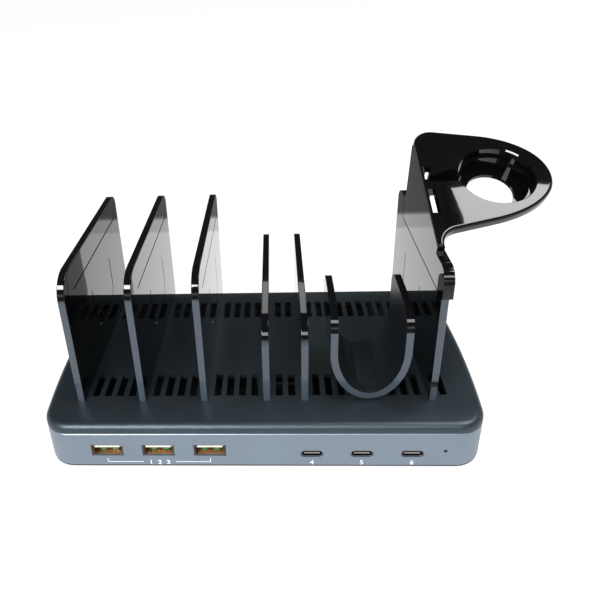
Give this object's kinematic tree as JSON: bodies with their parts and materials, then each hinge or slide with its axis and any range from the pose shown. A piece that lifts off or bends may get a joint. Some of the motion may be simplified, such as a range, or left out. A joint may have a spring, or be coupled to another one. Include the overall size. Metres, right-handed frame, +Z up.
{
  "type": "charging station organizer",
  "caption": "Low charging base with USB ports in its front, upright plug-in dividers, a U-shaped cradle and a tilted holder for a watch charger.",
  "frame": {"origin": "centre of the bottom plate's underside", "axes": "+X along the base towards the watch holder, +Y from the port side to the back, +Z up"},
  "size_m": [0.2198, 0.1024, 0.1187],
  "materials": {
    "gloss_black": "polished piano black",
    "satin_black": "fine satin",
    "silver": "satin silver",
    "dark_plastic": "matt",
    "rubber": "matt",
    "steel": "zinc plated",
    "port_metal": "nickel plated",
    "port_tongue": "moulded",
    "port_dark": "moulded",
    "board": "solder mask",
    "ferrite": "sintered",
    "copper": "enamelled wire",
    "can": "sleeved",
    "heat_sink": "extruded",
    "clear": "clear",
    "pin": "nickel plated"
  },
  "bodies": {
    "base": {"side_band": "silver", "top_cover": "satin_black", "bottom_plate": "dark_plastic", "rubber_feet": "rubber", "cover_screws": "steel", "main_board": "board", "board_screws": "steel", "usb_a_shell_1": "port_metal", "usb_a_tongue_1": "port_tongue", "usb_a_shell_2": "port_metal", "usb_a_tongue_2": "port_tongue", "usb_a_shell_3": "port_metal", "usb_a_tongue_3": "port_tongue", "usb_c_shell_1": "port_metal", "usb_c_tongue_1": "port_dark", "usb_c_shell_2": "port_metal", "usb_c_tongue_2": "port_dark", "usb_c_shell_3": "port_metal", "usb_c_tongue_3": "port_dark", "light_pin": "clear", "status_light": "clear", "mains_inlet": "dark_plastic", "mains_pins": "pin", "transformer_core": "ferrite", "transformer_winding": "copper", "bulk_capacitors": "can", "heat_sinks": "heat_sink", "line_choke": "ferrite", "port_chips": "dark_plastic"},
    "tall_divider_1": {"tall_divider_1": "gloss_black"},
    "tall_divider_2": {"tall_divider_2": "gloss_black"},
    "tall_divider_3": {"tall_divider_3": "gloss_black"},
    "short_divider_1": {"short_divider_1": "gloss_black"},
    "short_divider_2": {"short_divider_2": "gloss_black"},
    "u_cradle": {"u_cradle": "gloss_black", "cradle_pad": "gloss_black"},
    "watch_divider": {"watch_divider": "gloss_black"},
    "watch_holder": {"holder_saddle": "gloss_black", "holder_flange": "gloss_black", "holder_plate": "gloss_black"}
  },
  "joints": [
    {"name": "tall_divider_1_lift", "type": "slide", "parent": "base", "child": "tall_divider_1", "axis": [0, 0, 1], "range_m": [0, 0.072]},
    {"name": "tall_divider_2_lift", "type": "slide", "parent": "base", "child": "tall_divider_2", "axis": [0, 0, 1], "range_m": [0, 0.072]},
    {"name": "tall_divider_3_lift", "type": "slide", "parent": "base", "child": "tall_divider_3", "axis": [0, 0, 1], "range_m": [0, 0.072]},
    {"name": "short_divider_1_lift", "type": "slide", "parent": "base", "child": "short_divider_1", "axis": [0, 0, 1], "range_m": [0, 0.048]},
    {"name": "short_divider_2_lift", "type": "slide", "parent": "base", "child": "short_divider_2", "axis": [0, 0, 1], "range_m": [0, 0.048]},
    {"name": "u_cradle_lift", "type": "slide", "parent": "base", "child": "u_cradle", "axis": [0, 0, 1], "range_m": [0, 0.055]},
    {"name": "watch_divider_lift", "type": "slide", "parent": "base", "child": "watch_divider", "axis": [0, 0, 1], "range_m": [0, 0.072]},
    {"name": "watch_holder_lift", "type": "slide", "parent": "watch_divider", "child": "watch_holder", "axis": [0, 0, 1], "range_m": [0, 0.03]}
  ]
}
